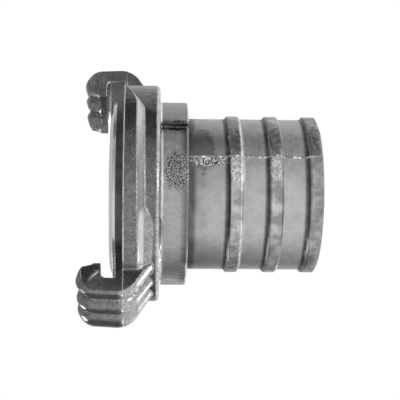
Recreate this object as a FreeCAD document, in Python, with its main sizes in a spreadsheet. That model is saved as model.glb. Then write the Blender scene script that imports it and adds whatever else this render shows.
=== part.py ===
"""Fire hose coupling head for an 80 mm hose: sleeve with hose tail, turning collar and sealing ring.

Millimetres and degrees. The head stands on the end of its hose tail: the origin is the middle of
that end face, +Z runs along the waterway towards the mating head and the two hooks lie on the X axis.
"""
import FreeCAD
import Part
import Sketcher
import math
import os

SLEEVE_SIZES = [
    ("bore_radius", 33.5, "waterway through the sleeve"),
    ("tail_wall", 3.9, "plain wall of the hose tail"),
    ("tail_chamfer", 0.8, "bore edge broken at the tail end"),
    ("rib_height", 1.45, "hose rib above the plain wall"),
    ("rib_crest", 4.5, "flat top of a rib, along the axis"),
    ("rib_flank", 1.3, "sloping side of a rib, along the axis"),
    ("rib_inset", 0.25, "plain end of the tail before the first rib"),
    ("rib_pitch", 18.9, "from rib to rib"),
    ("rib_count", 3, "ribs on the tail"),
    ("sleeve_length", 99.5, "tail end to the front face"),
    ("flange_reach", 7.9, "cast flange beyond the plain wall of the tail"),
    ("flange_depth", 8.5, "sleeve flange along the axis"),
    ("rim_step", 0.4, "turned edge of the flange inside its cast edge"),
    ("rim_depth", 1.5, "turned edge along the axis"),
    ("rim_chamfer", 0.4, "broken edge of the turned face"),
    ("neck_fillet", 2.0, "round between tail and flange"),
    ("groove_wall", 2.5, "wall between the waterway and the ring groove"),
    ("groove_width", 5.5, "ring groove across"),
    ("groove_depth", 5.0, "floor of the ring groove below the front face"),
    ("lip_step", 1.2, "inner wall of the groove below the front face"),
]

SEAL_SIZES = [
    ("seal_gap", 0.1, "sealing ring to the walls of its groove"),
    ("seal_lip", 1.6, "sealing ring proud of the front face"),
    ("seal_land", 1.3, "flat top of the lip, to each side of its wall"),
    ("seal_edge", 0.5, "rounded inner edge of the lip"),
]

COLLAR_SIZES = [
    ("collar_float", 4.3, "shoulder of the recess behind the sleeve flange"),
    ("slide_gap", 0.45, "collar bore over the hose ribs"),
    ("turn_gap", 0.7, "collar recess round the sleeve flange"),
    ("hub_wall", 2.9, "wall of the hub"),
    ("hub_length", 13.35, "hub along the axis"),
    ("hub_chamfer", 0.6, "broken edge at the end of the hub"),
    ("hub_fillet", 1.2, "round between hub and ring"),
    ("ring_wall", 7.5, "wall of the ring round its recess"),
    ("ring_length", 17.3, "ring along the axis, to the turned front face"),
    ("ring_round", 2.2, "rear edge of the ring"),
    ("recess_depth", 7.7, "flange recess below the front face"),
    ("lug_height", 3.1, "wrench lug above the hub"),
    ("lug_angle", 44.0, "wrench lug round the hub"),
    ("lug_turn", 57.85, "middle of a lug behind the middle of a hook"),
]

HOOK_SIZES = [
    ("finger_angle", 10.35, "one finger round the axis"),
    ("finger_groove", 2.1, "groove between two fingers"),
    ("side_drop", 0.5, "outer edge of a side finger below its crest"),
    ("arm_gap", 4.0, "inner face of the arm beyond the ledges"),
    ("arm_wall", 7.3, "arm through its crest"),
    ("arm_length", 9.7, "straight of the arm between its two rounds"),
    ("hook_draft", 0.5, "taper of the arm towards the nose"),
    ("run_out_angle", 32.3, "back of the hook against the radius"),
    ("back_round", 12.0, "round from the back to the arm"),
    ("nose_round", 8.8, "round of the nose"),
    ("throat_width", 9.8, "front face of the collar to the bearing face"),
    ("throat_fillet", 2.5, "round between arm and bearing face"),
    ("tip_gap", 0.6, "tip of the mating hook over the ring"),
    ("tip_height", 11.5, "tip along the axis, bearing face to nose"),
    ("tip_land", 3.8, "turned strip of the tip beside the bearing face"),
    ("tip_step", 0.2, "fingers start this far outside the turned strip"),
    ("tip_slant", 1.5, "tip leans out towards the nose"),
    ("tip_round", 2.9, "round from the tip to the nose"),
    ("root_depth", 3.5, "hooks and ledges start this far inside the ring"),
]

LEDGE_SIZES = [
    ("ledge_reach", 5.0, "ledge above the ring"),
    ("ledge_depth", 7.1, "ledge along the axis, beside its hook"),
    ("ledge_rise", 0.9, "helical rise of the rear face over the ledge"),
    ("ledge_slope", 3.3, "sloping rear face along the axis"),
    ("ledge_angle", 83.6, "ledge from the side of its hook to its lead-in"),
    ("ledge_overlap", 3.0, "ledge starts this far inside its hook"),
    ("gusset_angle", 21.0, "gusset behind the ledge, from the side of its hook"),
    ("gusset_fade", 9.0, "gusset runs out into the ledge"),
    ("gusset_depth", 6.4, "gusset along the axis, at the ring"),
    ("gusset_inset", 0.4, "outer edge of the gusset inside the ledge"),
    ("lead_angle", 20.0, "lead-in of the ledge round the axis"),
    ("lead_rise", 10.1, "lead-in along the axis"),
    ("turning_allowance", 6.5, "cast metal turned off the front"),
]

LEDGE_STATIONS = 7
LEAD_STATIONS = 4
LEAD_CURVE = 1.6


def total(*parts):
    """Sum of size expressions."""
    return "(%s)" % " + ".join(parts)


TAIL = total("{bore_radius}", "{tail_wall}")
FLANGE = total(TAIL, "{flange_reach}")
RIM = total(FLANGE, "-1 * {rim_step}")
GROOVE_INNER = total("{bore_radius}", "{groove_wall}")
GROOVE_OUTER = total(GROOVE_INNER, "{groove_width}")
COLLAR_BORE = total(TAIL, "{rib_height}", "{slide_gap}")
HUB = total(COLLAR_BORE, "{hub_wall}")
LUG = total(HUB, "{lug_height}")
RECESS = total(FLANGE, "{turn_gap}")
RING = total(RECESS, "{ring_wall}")
ROOT = total(RING, "-1 * {root_depth}")
LEDGE = total(RING, "{ledge_reach}")
TIP = total(RING, "{tip_gap}")
ARM = total(LEDGE, "{arm_gap}")
HOOK = total(ARM, "{arm_wall}")

FRONT = total("{hub_length}", "{ring_length}")
SHOULDER = total(FRONT, "-1 * {recess_depth}")
BEARING = total(FRONT, "{throat_width}")
NOSE = total(BEARING, "{tip_height}")
NOSE_CENTRE = total(NOSE, "-1 * {nose_round}")
LAND = total(BEARING, "{tip_land}")
BACK_CENTRE = total(NOSE_CENTRE, "-1 * {arm_length}")
FLANGE_REAR = total("{sleeve_length}", "-1 * {flange_depth}")
COLLAR_SEAT = total(FLANGE_REAR, "-1 * {collar_float}", "-1 * " + SHOULDER)


def add_sizes(doc):
    """Write every driving size into the sheet, one named cell each."""
    sheet = doc.addObject("Spreadsheet::Sheet", "Sizes")
    row = 1
    for group in (SLEEVE_SIZES, SEAL_SIZES, COLLAR_SIZES, HOOK_SIZES, LEDGE_SIZES):
        for alias, value, note in group:
            sheet.set("A%d" % row, alias)
            sheet.set("B%d" % row, str(value))
            sheet.set("C%d" % row, note)
            sheet.setAlias("B%d" % row, alias)
            row += 1
    doc.recompute()
    return sheet


def named(text):
    """Turn {alias} into the sheet's name for it."""
    return text.replace("{", "Sizes.").replace("}", "")


class Outline:
    """Closed outline in a plane through the axis: x is the radius, y the height."""

    def __init__(self, body, sheet, name, turn="0"):
        self.sheet = sheet
        self.sketch = body.newObject("Sketcher::SketchObject", name)
        plane = [f for f in body.Origin.OriginFeatures if f.Role == "XZ_Plane"][0]
        self.sketch.AttachmentSupport = [(plane, "")]
        self.sketch.MapMode = "FlatFace"
        angle = self.number(turn)
        if angle:
            about = FreeCAD.Rotation(FreeCAD.Vector(0, 1, 0), angle)
            self.sketch.AttachmentOffset = FreeCAD.Placement(FreeCAD.Vector(), about)
            self.sketch.setExpression(".AttachmentOffset.Rotation.Angle", named(turn))

    def number(self, text):
        """Value of a size expression."""
        return float(self.sheet.evalExpression(named(text)))

    def draw(self, points, arcs=None):
        """Join the points in order.

        arcs gives, for the first point of each arc, its radius and its side: 1 where it turns left
        on its way to the next point and -1 where it turns right.
        """
        arcs = arcs or {}
        spots = [FreeCAD.Vector(self.number(x), self.number(y), 0) for x, y in points]
        count = len(points)
        for index in range(count):
            start, end = spots[index], spots[(index + 1) % count]
            if index in arcs:
                radius, side = arcs[index]
                self.sketch.addGeometry(arc_between(start, end, self.number(radius), side), False)
            else:
                self.sketch.addGeometry(Part.LineSegment(start, end), False)
        for index, (across, along) in enumerate(points):
            before = (index - 1) % count
            start = end_number(index, arcs, True)
            end = end_number(before, arcs, False)
            self.sketch.addConstraint(Sketcher.Constraint("Coincident", before, end, index, start))
            self.pin("DistanceX", index, start, across)
            self.pin("DistanceY", index, start, along)
        for index, (radius, _side) in arcs.items():
            size = Sketcher.Constraint("Radius", index, self.number(radius))
            self.bind(self.sketch.addConstraint(size), radius)
        self.sketch.Visibility = False
        return self.sketch

    def pin(self, kind, index, end, text):
        """Hold one coordinate of a point at its size."""
        if text == "0":
            self.sketch.addConstraint(Sketcher.Constraint("PointOnObject", index, end, -1))
            return
        size = Sketcher.Constraint(kind, -1, 1, index, end, self.number(text))
        self.bind(self.sketch.addConstraint(size), text)

    def bind(self, row, text):
        """Tie a constraint to the sheet."""
        self.sketch.setExpression("Constraints[%d]" % row, named(text))


def end_number(index, arcs, at_start):
    """Sketcher's number for an end of an edge: arcs are stored anticlockwise."""
    runs_back = index in arcs and arcs[index][1] < 0
    return 1 if at_start != runs_back else 2


def arc_between(start, end, radius, side):
    """Arc from start to end, its centre to the left (1) or to the right (-1) of the chord."""
    chord = end - start
    middle = (start + end) * 0.5
    left = FreeCAD.Vector(-chord.y, chord.x, 0).normalize()
    rise = math.sqrt(max(radius ** 2 - (chord.Length / 2) ** 2, 0))
    centre = middle + left * (rise * side)
    first, last = (start, end) if side > 0 else (end, start)
    angle_from = math.atan2(first.y - centre.y, first.x - centre.x)
    angle_to = math.atan2(last.y - centre.y, last.x - centre.x)
    circle = Part.Circle(centre, FreeCAD.Vector(0, 0, 1), radius)
    return Part.ArcOfCircle(circle, angle_from, angle_to)


def z_axis(body):
    """The body's own Z axis."""
    return [f for f in body.Origin.OriginFeatures if f.Role == "Z_Axis"][0]


def turned(body, sketch, kind, name, angle=None):
    """Revolve or groove an outline about the axis, all round or by an angle to both sides."""
    feature = body.newObject("PartDesign::" + kind, name)
    feature.Profile = sketch
    feature.Refine = False
    feature.ReferenceAxis = (z_axis(body), [""])
    if angle:
        feature.Midplane = True
        feature.setExpression("Angle", named(angle))
    else:
        feature.Angle = 360.0
    body.Document.recompute()
    return feature


def lofted(body, sketches, name):
    """Add the solid that runs through the outlines in order."""
    feature = body.newObject("PartDesign::AdditiveLoft", name)
    feature.Profile = sketches[0]
    feature.Sections = sketches[1:]
    body.Document.recompute()
    return feature


def break_edges(body, name, kind, size, wanted):
    """Fillet or chamfer the full circles that have the wanted radius and height."""
    base = body.Tip
    edges = []
    for number, edge in enumerate(base.Shape.Edges, 1):
        curve = edge.Curve
        if not isinstance(curve, Part.Circle) or not edge.isClosed():
            continue
        if any(abs(curve.Radius - r) < 1e-4 and abs(curve.Center.z - z) < 1e-4 for r, z in wanted):
            edges.append("Edge%d" % number)
    if len(edges) != len(wanted):
        raise RuntimeError("%s: %d edges for %d" % (name, len(edges), len(wanted)))
    feature = body.newObject("PartDesign::" + kind, name)
    feature.Base = (base, edges)
    feature.setExpression("Radius" if kind == "Fillet" else "Size", named(size))
    body.Document.recompute()
    return feature


def add_sleeve(doc, sheet):
    """Cast sleeve: hose tail with its ribs, and the flange that holds the sealing ring."""
    body = doc.addObject("PartDesign::Body", "Sleeve")
    body.Label = "sleeve"
    floor = "{sleeve_length} - {groove_depth}"
    wall = Outline(body, sheet, "WallOutline")
    turned(body, wall.draw([
        ("{bore_radius}", "0"),
        (TAIL, "0"),
        (TAIL, FLANGE_REAR),
        (FLANGE, FLANGE_REAR),
        (FLANGE, "{sleeve_length} - {rim_depth}"),
        (RIM, "{sleeve_length} - {rim_depth}"),
        (RIM, "{sleeve_length}"),
        (GROOVE_OUTER, "{sleeve_length}"),
        (GROOVE_OUTER, floor),
        (GROOVE_INNER, floor),
        (GROOVE_INNER, "{sleeve_length} - {lip_step}"),
        ("{bore_radius}", "{sleeve_length} - {lip_step}"),
    ]), "Revolution", "Wall")
    size = wall.number
    break_edges(body, "NeckFillet", "Fillet", "{neck_fillet}", [(size(TAIL), size(FLANGE_REAR))])
    break_edges(body, "RimChamfer", "Chamfer", "{rim_chamfer}",
                [(size(RIM), size("{sleeve_length}"))])
    break_edges(body, "TailChamfer", "Chamfer", "{tail_chamfer}", [(size("{bore_radius}"), 0.0)])
    add_ribs(body, sheet)
    return body


def add_ribs(body, sheet):
    """Ribs that hold the bound hose, in a row along the tail."""
    inside = "{bore_radius} + {tail_wall} / 2"
    crest = total(TAIL, "{rib_height}")
    low = "{rib_inset} + {rib_flank}"
    high = low + " + {rib_crest}"
    outline = Outline(body, sheet, "RibOutline")
    first = turned(body, outline.draw([
        (inside, "{rib_inset}"),
        (TAIL, "{rib_inset}"),
        (crest, low),
        (crest, high),
        (TAIL, high + " + {rib_flank}"),
        (inside, high + " + {rib_flank}"),
    ]), "Revolution", "FirstRib")
    row = body.newObject("PartDesign::LinearPattern", "RibRow")
    row.Originals = [first]
    row.Direction = (z_axis(body), [""])
    row.setExpression("Length", named("{rib_pitch} * ({rib_count} - 1)"))
    row.setExpression("Occurrences", named("{rib_count}"))
    body.Tip = row
    body.Document.recompute()


def add_seal(doc, sheet):
    """Sealing ring: a rubber ring whose lip leans in over the waterway."""
    body = doc.addObject("PartDesign::Body", "Seal")
    body.Label = "seal_ring"
    inner = total(GROOVE_INNER, "{seal_gap}")
    outer = total(GROOVE_OUTER, "-1 * {seal_gap}")
    top = "{sleeve_length} + {seal_lip}"
    step = "{sleeve_length} - {lip_step} + {seal_gap}"
    outline = Outline(body, sheet, "SealOutline")
    turned(body, outline.draw([
        (inner, "{sleeve_length} - {groove_depth}"),
        (outer, "{sleeve_length} - {groove_depth}"),
        (outer, "{sleeve_length}"),
        (inner + " + {seal_land}", top),
        (inner + " - {seal_land}", top),
        ("{bore_radius}", top + " - {seal_edge}"),
        ("{bore_radius}", step),
        (inner, step),
    ]), "Revolution", "SealRing")
    return body


def add_collar(doc, sheet):
    """Cast collar: hub, ring, two ledges and two hooks, turned at the front and in the bore."""
    body = doc.addObject("PartDesign::Body", "Collar")
    body.Label = "collar"
    body.setExpression(".Placement.Base.z", named(COLLAR_SEAT))
    add_ring(body, sheet)
    castings = add_fingers(body, sheet) + add_ledge(body, sheet) + [add_lug(body, sheet)]
    pair = body.newObject("PartDesign::PolarPattern", "SecondSide")
    pair.Originals = castings
    pair.Axis = (z_axis(body), [""])
    pair.Angle = 360.0
    pair.Occurrences = 2
    body.Tip = pair
    body.Document.recompute()
    cut_throats(body, sheet)
    return body


def add_ring(body, sheet):
    """Hub and ring of the collar, with the bore and the recess for the sleeve flange."""
    cast_front = total(FRONT, "{turning_allowance}")
    ring = Outline(body, sheet, "RingOutline")
    turned(body, ring.draw([
        (COLLAR_BORE, "0"),
        (HUB, "0"),
        (HUB, "{hub_length}"),
        (RING, "{hub_length}"),
        (RING, cast_front),
        (RECESS, cast_front),
        (RECESS, SHOULDER),
        (COLLAR_BORE, SHOULDER),
    ]), "Revolution", "Ring")
    size = ring.number
    break_edges(body, "RingRound", "Fillet", "{ring_round}",
                [(size(RING), size("{hub_length}"))])
    break_edges(body, "HubFillet", "Fillet", "{hub_fillet}",
                [(size(HUB), size("{hub_length}"))])
    break_edges(body, "HubChamfer", "Chamfer", "{hub_chamfer}", [(size(HUB), 0.0)])


def finger_outline(body, sheet, name, turn, inset):
    """Section of a hook at one angle, its back, arm, nose and tip held in by the inset."""
    centre = total(HOOK, "-1 * {back_round}")
    back = total("{back_round}", "-1 * " + inset)
    nose_centre = total(HOOK, "-1 * {hook_draft}", "-1 * {nose_round}")
    nose = total("{nose_round}", "-1 * " + inset)
    tip_centre = total(TIP, "{tip_step}", "{tip_slant}", "{tip_round}")
    tip = total("{tip_round}", "-1 * " + inset)
    start_r = "%s + %s * sin({run_out_angle} * 1 deg)" % (centre, back)
    start_z = "%s - %s * cos({run_out_angle} * 1 deg)" % (BACK_CENTRE, back)
    root_z = "%s - (%s - %s) * tan({run_out_angle} * 1 deg)" % (start_z, start_r, ROOT)
    outline = Outline(body, sheet, name, turn)
    return outline.draw([
        (ROOT, root_z),
        (start_r, start_z),
        (total(centre, back), BACK_CENTRE),
        (total(nose_centre, nose), NOSE_CENTRE),
        (nose_centre, total(NOSE_CENTRE, nose)),
        (tip_centre, total(NOSE_CENTRE, nose)),
        (total(tip_centre, "-1 * " + tip), total(NOSE, "-1 * {tip_round}")),
        (total(TIP, "{tip_step}", inset), LAND),
        (ROOT, LAND),
    ], {1: (back, 1), 3: (nose, 1), 5: (tip, 1)})


def add_fingers(body, sheet):
    """Three rounded fingers side by side, meeting in sharp grooves."""
    groove, crest, side = "{finger_groove}", "0.0", "{side_drop}"
    half = "{finger_angle} / 2"
    layout = [
        ("LeftFinger", [("-3 * " + half, side), ("-2 * " + half, crest), ("-1 * " + half, groove)]),
        ("MiddleFinger", [("-1 * " + half, groove), ("0", crest), (half, groove)]),
        ("RightFinger", [(half, groove), ("2 * " + half, crest), ("3 * " + half, side)]),
    ]
    fingers = []
    for name, stations in layout:
        sketches = []
        for number, (turn, inset) in enumerate(stations, 1):
            sketches.append(finger_outline(body, sheet, "%sOutline%d" % (name, number), turn, inset))
        fingers.append(lofted(body, sketches, name))
    return fingers


def ledge_outline(body, sheet, name, turn, rear):
    """Section of a ledge at one angle; rear is the height of its outer rear edge."""
    front = total(FRONT, "{turning_allowance}")
    outline = Outline(body, sheet, name, turn)
    return outline.draw([
        (ROOT, "%s - ({ledge_reach} + {root_depth}) * {ledge_slope} / {ledge_reach}" % rear),
        (LEDGE, rear),
        (LEDGE, front),
        (ROOT, front),
    ])


def gusset_outline(body, sheet, name, turn, depth):
    """Section of a gusset at one angle; depth is how far it runs back at the ring."""
    top = "%s - {ledge_depth} + {gusset_inset}" % FRONT
    reach = "({ledge_reach} - {gusset_inset})"
    outline = Outline(body, sheet, name, turn)
    return outline.draw([
        (ROOT, "%s - (%s + {root_depth}) * (%s + {gusset_inset}) / %s" % (top, reach, depth, reach)),
        (total(LEDGE, "-1 * {gusset_inset}"), top),
        (ROOT, top),
    ])


def add_ledge(body, sheet):
    """Ledge that the mating hook slides behind: a helical rear face, a gusset and a lead-in."""
    side = "{finger_angle} * 3 / 2"
    near = side + " - {ledge_overlap}"
    deep = FRONT + " - {ledge_depth}"
    run = "({ledge_angle} + {ledge_overlap})"
    helix = []
    for station in range(LEDGE_STATIONS):
        share = station / (LEDGE_STATIONS - 1)
        turn = "%s + %s * %r" % (near, run, share)
        rear = "%s + {ledge_rise} * %r" % (deep, share)
        helix.append(ledge_outline(body, sheet, "LedgeOutline%d" % (station + 1), turn, rear))
    lead = []
    for station in range(LEAD_STATIONS):
        share = station / (LEAD_STATIONS - 1)
        turn = "%s + %s + {lead_angle} * %r" % (near, run, share)
        rear = "%s + {ledge_rise} + {lead_rise} * %r" % (deep, share ** LEAD_CURVE)
        lead.append(ledge_outline(body, sheet, "LeadOutline%d" % (station + 1), turn, rear))
    gusset = []
    for number, (turn, depth) in enumerate([
        (near, "{gusset_depth}"),
        (side + " + {gusset_angle} / 2", "{gusset_depth}"),
        (side + " + {gusset_angle}", "{gusset_depth}"),
        (side + " + {gusset_angle} + {gusset_fade}", "({ledge_slope} - {gusset_inset})"),
    ], 1):
        gusset.append(gusset_outline(body, sheet, "GussetOutline%d" % number, turn, depth))
    return [lofted(body, helix, "Ledge"), lofted(body, lead, "LeadIn"), lofted(body, gusset, "Gusset")]


def add_lug(body, sheet):
    """Wrench lug along the hub."""
    outline = Outline(body, sheet, "LugOutline", "-1 * {lug_turn}")
    inside = total(COLLAR_BORE, "{hub_wall} / 2")
    sketch = outline.draw([
        (inside, "0"),
        (LUG, "0"),
        (LUG, "{hub_length} + {ring_round}"),
        (inside, "{hub_length} + {ring_round}"),
    ])
    return turned(body, sketch, "Revolution", "Lug", "{lug_angle}")


def cut_throats(body, sheet):
    """Turn the front face flat and open the throats between it and the hook tips."""
    clear = total(FLANGE, "{turn_gap} / 2")
    outline = Outline(body, sheet, "ThroatOutline")
    sketch = outline.draw([
        (clear, FRONT),
        (ARM, FRONT),
        (ARM, total(BEARING, "-1 * {throat_fillet}")),
        (total(ARM, "-1 * {throat_fillet}"), BEARING),
        (TIP, BEARING),
        (TIP, NOSE),
        (clear, NOSE),
    ], {2: ("{throat_fillet}", 1)})
    turned(body, sketch, "Groove", "Throats")


def check(doc, bodies):
    """Stop on any failed object, and on any body without one valid solid."""
    for item in doc.Objects:
        if "Invalid" in item.State or "Error" in item.State:
            raise RuntimeError("%s failed: %s" % (item.Name, item.State))
    for body in bodies:
        shape = body.Shape
        if shape.isNull() or not shape.isValid() or len(shape.Solids) != 1:
            raise RuntimeError("%s is not one valid solid" % body.Label)


def main():
    """Build the head and write one file for each piece."""
    doc = FreeCAD.newDocument("HoseCouplingHead")
    sheet = add_sizes(doc)
    bodies = [add_sleeve(doc, sheet), add_seal(doc, sheet), add_collar(doc, sheet)]
    doc.recompute()
    check(doc, bodies)
    os.makedirs("parts", exist_ok=True)
    for body in bodies:
        body.Shape.exportStep("parts/%s.step" % body.Label)
        print("%s: %.1f cm3" % (body.Label, body.Shape.Volume / 1000))


main()
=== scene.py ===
"""Dresses the fire hose coupling head: a loose cast collar on a cast sleeve with a sealing ring.

The head stands on the end of its hose tail, +Z along the waterway. Sizes are millimetres unless a
name says otherwise, and meshes are written in metres.
"""

import logging
import math
from dataclasses import dataclass, field
from enum import Enum
from typing import Callable, Iterable, Sequence

import bmesh
import bpy
import numpy as np
from mathutils import Matrix, Vector
from mathutils.bvhtree import BVHTree


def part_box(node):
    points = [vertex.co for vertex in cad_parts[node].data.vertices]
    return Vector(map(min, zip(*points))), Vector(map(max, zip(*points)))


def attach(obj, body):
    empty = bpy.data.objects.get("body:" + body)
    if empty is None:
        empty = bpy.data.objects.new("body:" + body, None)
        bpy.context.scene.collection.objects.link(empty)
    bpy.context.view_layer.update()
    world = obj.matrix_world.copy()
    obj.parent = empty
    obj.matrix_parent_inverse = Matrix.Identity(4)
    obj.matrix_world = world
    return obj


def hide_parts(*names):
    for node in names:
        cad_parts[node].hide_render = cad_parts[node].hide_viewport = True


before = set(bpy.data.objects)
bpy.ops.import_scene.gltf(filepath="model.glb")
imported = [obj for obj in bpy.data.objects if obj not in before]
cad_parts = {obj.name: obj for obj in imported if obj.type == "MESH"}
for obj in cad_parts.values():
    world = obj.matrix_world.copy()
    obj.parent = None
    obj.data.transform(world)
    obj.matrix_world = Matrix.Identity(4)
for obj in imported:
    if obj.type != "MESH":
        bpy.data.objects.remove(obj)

LOG = logging.getLogger("coupling_head")
MM = 0.001

Point = tuple[float, float]
Colour = tuple[float, float, float, float]
Piece = bpy.types.Object
Mesh = bpy.types.Mesh
Material = bpy.types.Material
Socket = bpy.types.NodeSocket


class Body(Enum):
    """The two bodies of the head."""

    TAILPIECE = "tailpiece"
    SWIVEL = "swivel"


class Slot(Enum):
    """The finishes that the record names."""

    SLEEVE = "cast_sleeve"
    COLLAR = "cast_collar"
    SEAL = "seal_rubber"


class Blend(Enum):
    """What a Mix node blends: its data type, its two inputs and its output."""

    NUMBER = ("FLOAT", 2, 3, 0)
    VECTOR = ("VECTOR", 4, 5, 1)
    COLOUR = ("RGBA", 6, 7, 2)


def to_linear(shade: float) -> float:
    """Turn a screen shade from 0 to 1 into a linear one."""
    return shade / 12.92 if shade <= 0.04045 else ((shade + 0.055) / 1.055) ** 2.4


def grey(shade: float, warmth: float = 0.0) -> Colour:
    """A near neutral linear colour.

    Args:
        shade: Brightness on screen, from 0 to 1.
        warmth: How far red stands above blue, in the same measure.

    Returns:
        Linear red, green and blue, with full cover.
    """
    return to_linear(shade + warmth / 2), to_linear(shade), to_linear(shade - warmth / 2), 1.0


def level_colour(level: float) -> Colour:
    """A neutral colour of that linear level."""
    return level, level, level, 1.0


class Nodes:
    """Short hand for one node tree."""

    def __init__(self, tree: bpy.types.NodeTree) -> None:
        """Start on an empty tree."""
        self.tree = tree
        tree.nodes.clear()

    def add(self, kind: str, inputs: dict[object, object] | None = None,
            **settings: object) -> bpy.types.Node:
        """Add a node, set it up and feed it.

        Args:
            kind: Node type.
            inputs: Value or source socket by input name or number.
            **settings: Properties of the node.

        Returns:
            The new node.
        """
        node = self.tree.nodes.new(kind)
        for name, value in settings.items():
            setattr(node, name, value)
        for key, value in (inputs or {}).items():
            if isinstance(value, Socket):
                self.tree.links.new(value, node.inputs[key])
            else:
                node.inputs[key].default_value = value
        return node

    def math(self, operation: str, *values: object, clamp: bool = False) -> Socket:
        """Result of one sum."""
        inputs = dict(enumerate(values))
        return self.add("ShaderNodeMath", inputs, operation=operation, use_clamp=clamp).outputs[0]

    def vector(self, operation: str, first: object, second: object | None = None) -> Socket:
        """Result of one vector sum.

        Args:
            operation: What to do.
            first: Vector to work on.
            second: Other vector, or the factor of a SCALE.

        Returns:
            The vector, or the number where the operation is LENGTH.
        """
        inputs = {0: first}
        if second is not None:
            inputs["Scale" if operation == "SCALE" else 1] = second
        node = self.add("ShaderNodeVectorMath", inputs, operation=operation)
        return node.outputs["Value" if operation == "LENGTH" else 0]

    def step(self, value: object, low: float, high: float) -> Socket:
        """Smooth rise from 0 at low to 1 at high."""
        inputs = {0: value, 1: low, 2: high}
        return self.add("ShaderNodeMapRange", inputs, interpolation_type="SMOOTHSTEP").outputs[0]

    def scale(self, value: object, low: float, high: float) -> Socket:
        """Spread a value from 0 to 1 over a range."""
        return self.add("ShaderNodeMapRange", {0: value, 3: low, 4: high}).outputs[0]

    def blend(self, kind: Blend, share: object, first: object, second: object) -> Socket:
        """Blend two values.

        Args:
            kind: What is blended.
            share: 0 for the first and 1 for the second.
            first: Value or socket.
            second: Value or socket.

        Returns:
            The blend.
        """
        data_type, low, high, result = kind.value
        inputs = {0: share, low: first, high: second}
        return self.add("ShaderNodeMix", inputs, data_type=data_type).outputs[result]

    def noise(self, where: object, scale: object, detail: float = 2.0, rough: float = 0.5,
              **extra: object) -> Socket:
        """Noise of about 0.5 on average.

        Args:
            where: Vector socket in metres.
            scale: Lumps in a metre.
            detail: Octaves of finer noise.
            rough: Share of each finer octave.
            **extra: W, which makes another noise for each of its values.

        Returns:
            The noise.
        """
        inputs = {"Vector": where, "Scale": scale, "Detail": detail, "Roughness": rough}
        kind = "4D" if extra else "3D"
        return self.add("ShaderNodeTexNoise", inputs | extra, noise_dimensions=kind).outputs[0]

    def skin_noise(self, where: object, size: float, *shape: float) -> Socket:
        """Noise whose lumps are about size millimetres across."""
        return self.noise(where, 1 / (size * MM), *shape)

    def bump(self, height: object, depth: float) -> Socket:
        """Normal of a surface with that relief, depth millimetres deep."""
        return self.add("ShaderNodeBump", {"Height": height, "Distance": depth * MM}).outputs[0]

    def from_axis(self, place: object) -> tuple[Socket, Socket, Socket]:
        """Split a place by the axis.

        Args:
            place: Socket with the position.

        Returns:
            Its level part, its distance from the axis and its height.
        """
        parts = self.add("ShaderNodeSeparateXYZ", {0: place}).outputs
        level = self.add("ShaderNodeCombineXYZ", {0: parts[0], 1: parts[1]}).outputs[0]
        return level, self.vector("LENGTH", level), parts[2]


def new_material(name: str) -> tuple[Material, Nodes]:
    """Start a material.

    Args:
        name: Name of the material.

    Returns:
        The material and its empty node tree.
    """
    made = bpy.data.materials.new(name)
    made.use_nodes = True
    return made, Nodes(made.node_tree)


@dataclass(frozen=True)
class Zone:
    """A ring-shaped region of a casting with a skin of its own, turned on a lathe or left rough, some
    with painted shade or highlights.
    """

    inner: float
    outer: float
    low: float
    high: float
    shade: float
    roughness: float
    turned: bool = True
    soft: float = 0.06
    contrast: float = 0.1

    def mask(self, nodes: Nodes, radius: object, height: object) -> Socket:
        """One inside the zone and zero outside it.

        Args:
            nodes: Tree to build in.
            radius: Socket with the distance from the axis, in metres.
            height: Socket with the height, in metres.

        Returns:
            The mask.
        """
        product: object = 1.0
        for value, edge, blur in (
            (radius, self.inner, self.soft), (radius, self.outer, -self.soft),
            (height, self.low, self.soft), (height, self.high, -self.soft),
        ):
            inside = nodes.step(value, (edge - blur) * MM, (edge + blur) * MM)
            product = nodes.math("MULTIPLY", product, inside)
        return product


@dataclass(frozen=True)
class RoughPatch:
    """Pitted or stained skin, some with painted shade or sheen, in a rounded, ragged patch of a
    casting.
    """

    radius: float
    angle_degrees: float
    height: float
    reach: Point
    depth: float
    grain: float
    dark: float
    light: float
    ragged_size: float = 2.2
    ragged_share: float = 0.9
    edge: Point = (1.55, 1.2)

    def mask(self, nodes: Nodes, place: object) -> Socket:
        """One inside the patch, fading raggedly to zero.

        Args:
            nodes: Tree to build in.
            place: Socket with the position, in metres.

        Returns:
            The mask.
        """
        turn = math.radians(self.angle_degrees)
        across, along = self.reach
        middle = Vector((self.radius * math.cos(turn), self.radius * math.sin(turn), self.height)) * MM
        off = nodes.vector("SUBTRACT", place, middle)
        off = nodes.vector("DIVIDE", off, Vector((across, across, along)) * MM)
        ragged = nodes.skin_noise(place, self.ragged_size, 3.0)
        ragged = nodes.math("MULTIPLY", ragged, self.ragged_share)
        return nodes.step(nodes.math("ADD", nodes.vector("LENGTH", off), ragged), *self.edge)


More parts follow.
